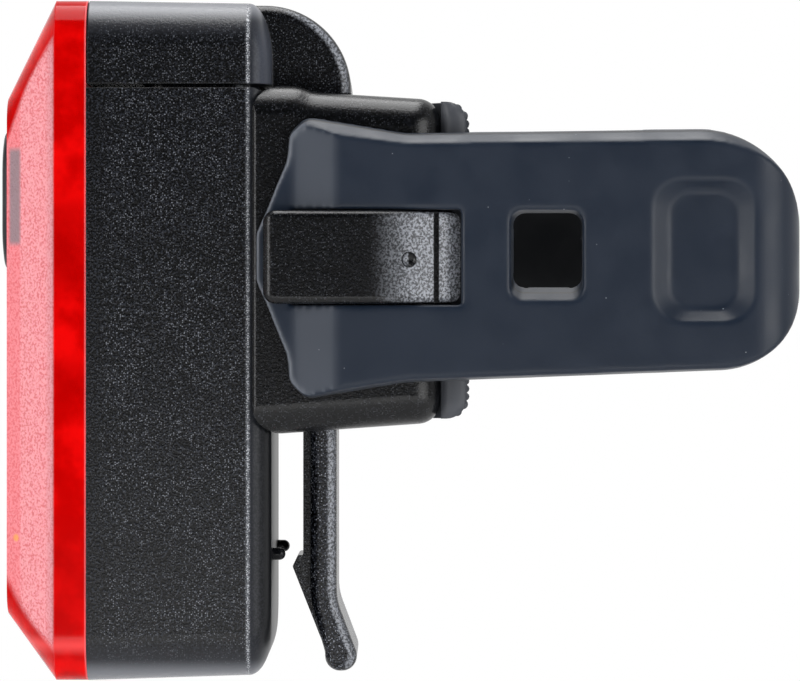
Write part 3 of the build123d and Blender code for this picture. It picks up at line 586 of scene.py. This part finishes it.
def rubber(name, color, dust, roughness=0.45, marks=None):
    """Moulded rubber, matt, with dust and faint flow marks, and one piece's own marks if it has any, painted
    shade and a painted highlight among them.
    """
    finish, tree, shader, spot = new_finish(name)
    place = spot["Object"]
    cloud = clouds(tree, place, pitch=0.004, detail=3.0)
    tone = blend_colors(tree, cloud, shaded(color, 0.88), shaded(color, 1.14))
    if marks:
        tone = marks(tree, place, spot["Normal"], tone)
    large_specks = flecks(tree, place, pitch=0.0016, share=0.10, size=0.055)
    small_specks = flecks(tree, place, pitch=0.0007, share=0.05, size=0.09)
    specks = times(tree, combine(tree, "MAXIMUM", large_specks, small_specks), dust)
    give(tree, shader, Base_Color=blend_colors(tree, specks, tone, dust_grey))
    give(tree, shader, Roughness=vary(tree, cloud, roughness - 0.05, roughness + 0.06))
    give(tree, shader, Specular_IOR_Level=0.32, Sheen_Weight=0.03, Sheen_Roughness=0.5)
    fine = clouds(tree, place, pitch=0.00022)
    give(tree, shader, Normal=raise_grain(tree, fine, depth=0.00003, strength=0.25))
    return finish


def settle(piece, body, slot, finish, *nodes):
    """The piece gets its finish, stands for its CAD nodes and moves with its body."""
    piece.data.materials.clear()
    piece.data.materials.append(finish)
    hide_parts(*nodes)
    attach(piece, body)


rubber_key = skin_rings("rubber_key", key_rings())
settle(rubber_key, "key", "key_rubber", rubber("key_rubber", key_color, dust=0.4), "power_button")

# Seals. A flat ring between the lens and the housing, and a lipped ring round the cap's plug, both
# in black rubber, pressed into their grooves.
seal_corner = {"lens_gasket": 0.0030, "cap_gasket": 0.0028}
seal_points = 10
seal_color = (0.016, 0.016, 0.017)


def rounded_path(half_one, half_two, corner):
    """Points and outward directions round a rectangle with rounded corners."""
    path = []
    for quarter in range(4):
        turn = quarter * math.pi / 2
        side_one = (1, -1, -1, 1)[quarter] * (half_one - corner)
        side_two = (1, 1, -1, -1)[quarter] * (half_two - corner)
        for i in range(seal_points + 1):
            angle = turn + math.pi / 2 * i / seal_points
            out = (math.cos(angle), math.sin(angle))
            path.append(((side_one + corner * out[0], side_two + corner * out[1]), out))
    return path


def make_seal(name, node, axis, section):
    """A ring that lies square to an axis in the node's box.

    A point of its section is a depth inwards and a share of half the ring's height.
    """
    low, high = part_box(node)
    middle = (Vector(low) + Vector(high)) / 2
    half = (Vector(high) - Vector(low)) / 2
    one, two = [i for i in range(3) if i != axis]
    rings = []
    for (p, q), (out_p, out_q) in rounded_path(half[one], half[two], seal_corner[node]):
        ring = []
        for inwards, along in section:
            point = middle.copy()
            point[one] += p - out_p * inwards
            point[two] += q - out_q * inwards
            point[axis] += along * half[axis]
            ring.append(point)
        rings.append(ring)
    return skin_rings(name, rings, close_ends=False, close_round=True)


seal_finish = rubber("seal_rubber", seal_color, dust=0.2, roughness=0.5)
flat_section = [
    (0, -0.8), (0, 0.8), (0.00015, 1), (0.00075, 1),
    (0.0009, 0.8), (0.0009, -0.8), (0.00075, -1), (0.00015, -1),
]
lens_seal = make_seal("lens_seal", "lens_gasket", 0, flat_section)
settle(lens_seal, "light", "seal_rubber", seal_finish, "lens_gasket")
lip_section = [
    (0.0002, -1), (0, -0.75), (0.0002, -0.4), (0.0003, 0), (0.0002, 0.4), (0, 0.75), (0.0002, 1),
    (0.0009, 1), (0.0009, -1),
]
plug_seal = make_seal("plug_seal", "cap_gasket", 2, lip_section)
settle(plug_seal, "cap", "seal_rubber", seal_finish, "cap_gasket")

# Post pad. A dark rubber pad on the bracket's back, hollowed to the seat post and ribbed so that it
# grips, with two lips that lap over the bracket's rear edges.
pad_low, pad_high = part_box("post_pad")
post_radius = 0.0136
pad_back_radius = 0.0155
pad_corner = 0.0020
pad_corner_steps = 8
pad_arc_steps = 32
pad_lip_back = -0.01005
lip_from = 0.0114
lip_edge = 0.0003
rib_pitch = 0.00075
rib_radius = 0.00040
rib_proud = 0.00024
rib_half_angle = 56.5
corner_rib_radius = 0.00048
corner_rib_turns = (24, 58)
corner_rib_short = 0.0002
corner_rib_sides = 14
pad_face_x = pad_high[0] - rib_proud
pad_floor_radius = post_radius + rib_proud
pad_color = (0.058, 0.062, 0.072)


def pad_arc(radius, half_turn, side):
    """An arc round the post's axis on the bracket's side, from one lip to the other or back."""
    points = []
    for i in range(pad_arc_steps + 1):
        turn = half_turn * (1 - 2 * i / pad_arc_steps)
        points.append((-radius * math.cos(turn), side * radius * math.sin(turn)))
    return points


def pad_outline():
    """The pad seen from above: the hollow, a lip, the back and the other lip."""
    hollow = pad_arc(pad_floor_radius, math.acos(-pad_face_x / pad_floor_radius), 1)
    back = pad_arc(pad_back_radius, math.acos(-pad_lip_back / pad_back_radius), -1)
    side_y = pad_high[1]
    upper = [(pad_lip_back, side_y), (pad_face_x - lip_edge, side_y), (pad_face_x, side_y - lip_edge)]
    lower = [(x, -y) for x, y in reversed(upper)]
    return hollow + lower + back + upper


def pad_rings():
    """That outline at many heights, cut back in a quarter round at the top and bottom."""
    heights = []
    for i in range(pad_corner_steps + 1):
        turn = math.radians(90 * i / pad_corner_steps)
        heights.append(pad_low[2] + pad_corner * (1 - math.cos(turn)))
    heights += [-height for height in reversed(heights)]
    rings = []
    for height in heights:
        short = max(0.0, abs(height) - (pad_high[2] - pad_corner))
        limit = pad_face_x - pad_corner + math.sqrt(max(0.0, pad_corner ** 2 - short ** 2))
        rings.append([(min(x, limit), y, height) for x, y in pad_outline()])
    return rings


def rib_nodes():
    """Half-round ribs along the hollow and straight across both lips, one above the other."""
    tree = bpy.data.node_groups.new("pad_ribs", "GeometryNodeTree")
    panel = tree.interface
    panel.new_socket("Geometry", in_out="OUTPUT", socket_type="NodeSocketGeometry")
    for name in ("Hollow Radius", "Half Angle", "Rib Radius", "Pitch", "Lip Place", "Lip From", "Lip To"):
        panel.new_socket(name, in_out="INPUT", socket_type="NodeSocketFloat")
    panel.new_socket("Ribs", in_out="INPUT", socket_type="NodeSocketInt")
    panel.new_socket("Material", in_out="INPUT", socket_type="NodeSocketMaterial")
    given = add_node(tree, "NodeGroupInput").outputs
    turn = times(tree, given["Half Angle"], 2.0)
    start = combine(tree, "SUBTRACT", math.pi, given["Half Angle"])
    sizes = {"Resolution": 48, "Radius": given["Hollow Radius"], "Start Angle": start, "Sweep Angle": turn}
    arc = add_node(tree, "GeometryNodeCurveArc", sizes, mode="RADIUS")
    route = tree.nodes.new("GeometryNodeJoinGeometry")
    tree.links.new(arc.outputs[0], route.inputs[0])
    for side in (-1.0, 1.0):
        ends = []
        for reach in ("Lip From", "Lip To"):
            across = times(tree, given[reach], side)
            point = add_node(tree, "ShaderNodeCombineXYZ", {"X": given["Lip Place"], "Y": across})
            ends.append(point.outputs[0])
        line = add_node(tree, "GeometryNodeCurvePrimitiveLine", {"Start": ends[0], "End": ends[1]})
        tree.links.new(line.outputs[0], route.inputs[0])
    round_bar = {"Resolution": 12, "Radius": given["Rib Radius"]}
    profile = add_node(tree, "GeometryNodeCurvePrimitiveCircle", round_bar)
    swept = {0: route.outputs[0], 1: profile.outputs[0], "Fill Caps": True}
    bar = add_node(tree, "GeometryNodeCurveToMesh", swept)
    gaps = combine(tree, "SUBTRACT", given["Ribs"], 1.0)
    drop = times(tree, gaps, given["Pitch"], -0.5)
    first = add_node(tree, "ShaderNodeCombineXYZ", {"Z": drop}).outputs[0]
    step = add_node(tree, "ShaderNodeCombineXYZ", {"Z": given["Pitch"]}).outputs[0]
    row = {"Count": given["Ribs"], "Start Location": first, "Offset": step}
    column = add_node(tree, "GeometryNodeMeshLine", row)
    placed = {"Points": column.outputs[0], "Instance": bar.outputs[0]}
    copies = add_node(tree, "GeometryNodeInstanceOnPoints", placed)
    solid = add_node(tree, "GeometryNodeRealizeInstances", {0: copies.outputs[0]})
    smooth = add_node(tree, "GeometryNodeSetShadeSmooth", {0: solid.outputs[0]})
    finished = {0: smooth.outputs[0], "Material": given["Material"]}
    dressed = add_node(tree, "GeometryNodeSetMaterial", finished)
    add_node(tree, "NodeGroupOutput", {0: dressed.outputs[0]})
    return tree


def grown(name, tree, **inputs):
    """A piece made by a node tree, as a plain mesh."""
    holder = bpy.data.objects.new(name + "_maker", bpy.data.meshes.new(name + "_maker"))
    bpy.context.scene.collection.objects.link(holder)
    maker = holder.modifiers.new(name, "NODES")
    maker.node_group = tree
    sockets = {item.name: item.identifier for item in tree.interface.items_tree if item.in_out == "INPUT"}
    for label, value in inputs.items():
        maker[sockets[label.replace("_", " ")]] = value
    bpy.context.view_layer.update()
    made = holder.evaluated_get(bpy.context.evaluated_depsgraph_get())
    mesh = bpy.data.meshes.new_from_object(made)
    mesh.name = name
    bpy.data.objects.remove(holder)
    piece = bpy.data.objects.new(name, mesh)
    bpy.context.scene.collection.objects.link(piece)
    return piece


def corner_rib(name, turn, top, side):
    """A larger rib across one lip, where the pad's end is rounded."""
    reach = pad_corner - corner_rib_radius
    x = pad_high[0] - pad_corner + reach * math.cos(math.radians(turn))
    z = (pad_high[2] - pad_corner + reach * math.sin(math.radians(turn))) * top
    rings = []
    for y in (lip_from, pad_high[1] - corner_rib_short):
        ring = []
        for i in range(corner_rib_sides):
            angle = 2 * math.pi * i / corner_rib_sides
            out, lift = corner_rib_radius * math.cos(angle), corner_rib_radius * math.sin(angle)
            ring.append((x + out, side * y, z + lift))
        rings.append(ring)
    return skin_rings(name, rings)


pad_finish = rubber("pad_rubber", pad_color, dust=0.6, roughness=0.42)
pad_body = skin_rings("pad_body", pad_rings())
settle(pad_body, "bracket", "pad_rubber", pad_finish, "post_pad")
rib_count = int((pad_high[2] - pad_low[2] - 2 * pad_corner) / rib_pitch) + 1
pad_ribs = grown(
    "pad_ribs",
    rib_nodes(),
    Hollow_Radius=post_radius + rib_radius,
    Half_Angle=math.radians(rib_half_angle),
    Rib_Radius=rib_radius,
    Pitch=rib_pitch,
    Ribs=rib_count,
    Lip_Place=pad_high[0] - rib_radius,
    Lip_From=lip_from,
    Lip_To=pad_high[1] - lip_edge,
    Material=pad_finish,
)
settle(pad_ribs, "bracket", "pad_rubber", pad_finish, "post_pad")
for top, end_name in ((-1, "lower"), (1, "upper")):
    for side, side_name in ((-1, "near"), (1, "far")):
        for turn in corner_rib_turns:
            piece = corner_rib(f"pad_end_rib_{end_name}_{side_name}_{turn}", turn, top, side)
            settle(piece, "bracket", "pad_rubber", pad_finish, "post_pad")

# Strap. One closed loop of blue-grey silicone, moulded in two halves, so its edges are drafted from a
# parting line. A hole at each side is stretched over the bracket's hook and hugs it, and a window
# behind the near one lets the strap be hooked tighter.
strap_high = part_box("strap")[1]
strap_inner = 0.0163
strap_wall = strap_high[1] - strap_inner
strap_middle_z = 0.0002
strap_half = 0.01195
parting = 0.45
part_line = strap_inner + parting * strap_wall
draft_from = 0.45
draft_inside = 0.2
upper_draft = 0.0011
lower_draft = 0.0003
falloff = 1.5
hole_rear = -0.00760
hole_half = 0.00475
rear_pull = 0.00027
rear_reach = 0.0045
edge_grip = 0.00020
edge_reach = 0.003
edge_past_rear = 0.002
voxel = 0.00024
strap_triangles = 170000
strap_color = (0.0064, 0.0124, 0.0248)
flare_highlight_grey = (0.105, 0.116, 0.138, 1)
flare_ends = (-0.0175, -0.0190)


def plain_copy(node, name):
    """A merged copy of a CAD piece's mesh as a new object."""
    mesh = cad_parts[node].data.copy()
    mesh.name = name
    shell = bmesh.new()
    shell.from_mesh(mesh)
    bmesh.ops.remove_doubles(shell, verts=shell.verts, dist=1e-6)
    shell.to_mesh(mesh)
    shell.free()
    piece = bpy.data.objects.new(name, mesh)
    bpy.context.scene.collection.objects.link(piece)
    return piece


def bake_modifiers(piece):
    """Turns a piece's modifiers into plain mesh."""
    bpy.context.view_layer.update()
    made = piece.evaluated_get(bpy.context.evaluated_depsgraph_get())
    mesh = bpy.data.meshes.new_from_object(made)
    piece.modifiers.clear()
    old = piece.data
    piece.data = mesh
    bpy.data.meshes.remove(old)


def draft_edges(points):
    """The strap's two edges lean in from the parting line, more so at the upper edge."""
    depth = np.clip((np.abs(points[:, 1]) - strap_inner) / strap_wall, 0, 1)
    height = (points[:, 2] - strap_middle_z) / strap_half
    near_edge = np.clip(np.abs(height) - draft_from, 0, 1) / (1 - draft_from)
    inner = draft_inside * np.minimum(depth, parting) / parting
    outer = (1 - draft_inside) * np.clip((depth - parting) / (1 - parting), 0, 1)
    draft = np.where(height > 0, -upper_draft, lower_draft)
    points[:, 2] += draft * (inner + outer) * near_edge ** falloff


def hug_hooks(points):
    """The holes' rear ends are pulled to the hooks, and their upper and lower edges grip them."""
    off_middle = np.abs(points[:, 2] - strap_middle_z)
    behind = np.clip(1 - np.abs(points[:, 0] - hole_rear) / rear_reach, 0, 1)
    level = np.clip((hole_half + edge_reach - off_middle) / edge_reach, 0, 1)
    beside = np.clip(1 - np.abs(off_middle - hole_half) / edge_reach, 0, 1)
    beside *= np.clip((hole_rear + edge_past_rear - points[:, 0]) / edge_reach, 0, 1)
    points[:, 0] -= rear_pull * behind ** falloff * level
    points[:, 2] -= edge_grip * np.sign(points[:, 2] - strap_middle_z) * beside ** falloff


def make_strap():
    """The CAD loop with an even skin, its edges drafted and its holes drawn to the hooks."""
    strap = plain_copy("strap", "strap_band")
    remesh = strap.modifiers.new("even", "REMESH")
    remesh.mode = "VOXEL"
    remesh.voxel_size = voxel
    bake_modifiers(strap)
    points = np.empty(len(strap.data.vertices) * 3)
    strap.data.vertices.foreach_get("co", points)
    points = points.reshape(-1, 3)
    draft_edges(points)
    hug_hooks(points)
    strap.data.vertices.foreach_set("co", points.ravel())
    soften = strap.modifiers.new("soften", "SMOOTH")
    soften.factor = 0.5
    soften.iterations = 5
    thin = strap.modifiers.new("thin", "DECIMATE")
    thin.ratio = min(1.0, strap_triangles / (2 * len(strap.data.polygons)))
    bake_modifiers(strap)
    strap.data.shade_smooth()
    return strap


def strap_line_shade_and_highlight(tree, place, normal, tone):
    """Painted shade inside, nearly black, with a thin parting line round the edges and a painted highlight
    where the loop flares.
    """
    along, across = axes(tree, place, "XY")
    ahead, beside = axes(tree, normal, "XY")
    outwards = times(tree, combine(tree, "SIGN", across), beside)
    black = shaded(strap_color, 0.1)
    # Painted shade: faces that look into the loop are made nearly black.
    tone = blend_colors(tree, ease(tree, outwards, -0.4, -0.8), tone, black)
    off_line = unsigned(tree, combine(tree, "SUBTRACT", unsigned(tree, across), part_line))
    edge_on = ease(tree, unsigned(tree, outwards), 0.7, 0.4)
    line = times(tree, ease(tree, off_line, 0.00020, 0.00008), edge_on)
    tone = blend_colors(tree, line, tone, black)
    # Painted highlight: faces near the left end that turn forward and outwards are lighter grey.
    slanting = times(tree, ease(tree, ahead, -0.02, -0.62), ease(tree, outwards, 0.3, 0.6))
    return blend_colors(tree, times(tree, slanting, ease(tree, along, *flare_ends)), tone, flare_highlight_grey)


strap_band = make_strap()
strap_finish = rubber("strap_silicone", strap_color, dust=1.0, roughness=0.42, marks=strap_line_shade_and_highlight)
settle(strap_band, "bracket", "strap_silicone", strap_finish, "strap")

# Cells. Two AAA cells side by side in the housing, one pole up and one pole down, each in a plain
# printed sleeve with bare steel ends.
sleeve_end = 0.0007
sleeve_step = 0.00002
band_share = 0.24
sleeve_dark = (0.018, 0.020, 0.025, 1)
sleeve_warm = (0.55, 0.24, 0.07, 1)
steel_dark = (0.42, 0.42, 0.43, 1)
steel_light = (0.62, 0.62, 0.63, 1)


def cell_sleeve(node, pole_up):
    """A dark sleeve with a warm-coloured band at the pole's end, and steel past its two ends."""
    low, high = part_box(node)
    finish, tree, shader, spot = new_finish("cell_sleeve_" + node)
    place = spot["Object"]
    up = axes(tree, place, "Z")[0]
    above = ease(tree, up, low[2] + sleeve_end, low[2] + sleeve_end + sleeve_step)
    below = ease(tree, up, high[2] - sleeve_end, high[2] - sleeve_end - sleeve_step)
    sleeve = times(tree, above, below)
    band_length = band_share * (high[2] - low[2])
    if pole_up:
        band_z = high[2] - band_length
        band = ease(tree, up, band_z, band_z + sleeve_step)
    else:
        band_z = low[2] + band_length
        band = ease(tree, up, band_z, band_z - sleeve_step)
    scuff = clouds(tree, place, pitch=0.0011, detail=4.0)
    print_color = blend_colors(tree, band, sleeve_dark, sleeve_warm)
    steel = blend_colors(tree, scuff, steel_dark, steel_light)
    give(tree, shader, Base_Color=blend_colors(tree, sleeve, steel, print_color))
    give(tree, shader, Metallic=combine(tree, "SUBTRACT", 1.0, times(tree, sleeve, 0.9)))
    give(tree, shader, Roughness=vary(tree, scuff, 0.24, 0.4))
    give(tree, shader, Normal=raise_grain(tree, scuff, depth=0.00002, strength=0.2))
    return finish


finish_node("battery_cell_near", cell_sleeve("battery_cell_near", True))
finish_node("battery_cell_far", cell_sleeve("battery_cell_far", False))

# Contacts, spring, bridge and screws. Nickel plated strip and wire that the cells press on, the
# bridge plate across them under the cap, and plated steel screws.
nickel_dark = (0.50, 0.48, 0.44, 1)
nickel_light = (0.70, 0.68, 0.63, 1)
screw_dark = (0.44, 0.44, 0.45, 1)
screw_light = (0.62, 0.62, 0.64, 1)


def bright_metal(name, dark, light, roughness, pitch):
    """Plated metal with fine rolling marks along it."""
    finish, tree, shader, spot = new_finish(name)
    drawn = add_node(tree, "ShaderNodeMapping", {"Vector": spot["Object"], "Scale": (1, 1, 0.12)})
    marks = clouds(tree, drawn.outputs[0], pitch, detail=3.0, rough=0.6)
    give(tree, shader, Base_Color=blend_colors(tree, marks, dark, light), Metallic=1.0)
    give(tree, shader, Roughness=vary(tree, marks, roughness - 0.06, roughness + 0.08))
    bump = raise_grain(tree, marks, depth=0.00001, strength=0.3, base=rounded_edges(tree, 0.00008))
    give(tree, shader, Normal=bump)
    return finish


nickel = bright_metal("contact_nickel", nickel_dark, nickel_light, roughness=0.3, pitch=0.0003)
for node in ("battery_contacts", "battery_spring", "cap_bridge"):
    finish_node(node, nickel)
plated_steel = bright_metal("screw_steel", screw_dark, screw_light, roughness=0.32, pitch=0.0004)
for node in ("board_screws", "bridge_screw"):
    finish_node(node, plated_steel)

# Circuit board, switch, plunger, LEDs, reflector and indicator. They lie behind the lens and show
# dimly through it: a green board, a metallised tray with a cup round each LED, and a clear pipe.
board_green = (0.006, 0.065, 0.022, 1)
track_green = (0.012, 0.115, 0.042, 1)
tracks_per_metre = 420.0
tray_dark = (0.80, 0.80, 0.81, 1)
tray_light = (0.92, 0.92, 0.93, 1)
pipe_dark = (1.0, 0.36, 0.08, 1)
pipe_light = (1.0, 0.46, 0.14, 1)
inner_plastics = {
    "button_switch": ("switch_black", (0.012, 0.012, 0.013, 1), (0.022, 0.022, 0.024, 1), 0.45),
    "button_plunger": ("plunger_plastic", (0.24, 0.25, 0.27, 1), (0.33, 0.34, 0.36, 1), 0.5),
    "light_leds": ("led_white", (0.78, 0.75, 0.55, 1), (0.86, 0.85, 0.76, 1), 0.25),
    "indicator_led": ("indicator_amber", (0.85, 0.28, 0.02, 1), (0.95, 0.40, 0.05, 1), 0.25),
}


def green_board():
    """Solder mask, paler and a little raised over the copper tracks."""
    finish, tree, shader, spot = new_finish("board_green")
    place = spot["Object"]
    web = {"Vector": place, "Scale": tracks_per_metre}
    cells = add_node(tree, "ShaderNodeTexVoronoi", web, feature="DISTANCE_TO_EDGE")
    track = ease(tree, cells.outputs["Distance"], 0.10, 0.06)
    weave = clouds(tree, place, pitch=0.0006, detail=3.0)
    give(tree, shader, Base_Color=blend_colors(tree, track, board_green, track_green))
    give(tree, shader, Roughness=vary(tree, weave, 0.3, 0.44))
    give(tree, shader, Normal=raise_grain(tree, track, depth=0.00004, strength=0.6))
    return finish


def moulded_plastic(name, dark, light, roughness):
    """Plain moulded plastic with a faint unevenness."""
    finish, tree, shader, spot = new_finish(name)
    patch = clouds(tree, spot["Object"], pitch=0.0009, detail=3.0)
    give(tree, shader, Base_Color=blend_colors(tree, patch, dark, light))
    give(tree, shader, Roughness=vary(tree, patch, roughness - 0.05, roughness + 0.05))
    bump = raise_grain(tree, patch, depth=0.00002, strength=0.25, base=rounded_edges(tree, 0.0001))
    give(tree, shader, Normal=bump)
    return finish


def reflector_metal():
    """A bright metal coat on a moulded tray."""
    finish, tree, shader, spot = new_finish("reflector_bright")
    peel = clouds(tree, spot["Object"], pitch=0.0012)
    give(tree, shader, Base_Color=blend_colors(tree, peel, tray_dark, tray_light), Metallic=1.0)
    give(tree, shader, Roughness=vary(tree, peel, 0.1, 0.2))
    give(tree, shader, Normal=raise_grain(tree, peel, depth=0.00003, strength=0.3))
    return finish


def clear_pipe():
    """Clear plastic that carries the indicator's amber light."""
    finish, tree, shader, spot = new_finish("pipe_clear")
    patch = clouds(tree, spot["Object"], pitch=0.0008)
    give(tree, shader, Base_Color=blend_colors(tree, patch, pipe_dark, pipe_light))
    give(tree, shader, Transmission_Weight=0.5, IOR=acrylic_ior)
    give(tree, shader, Roughness=vary(tree, patch, 0.08, 0.16))
    give(tree, shader, Normal=raise_grain(tree, patch, depth=0.00001, strength=0.2))
    return finish


finish_node("circuit_board", green_board())
for node, plastic in inner_plastics.items():
    finish_node(node, moulded_plastic(*plastic))
finish_node("led_reflector", reflector_metal())
finish_node("indicator_light_pipe", clear_pipe())
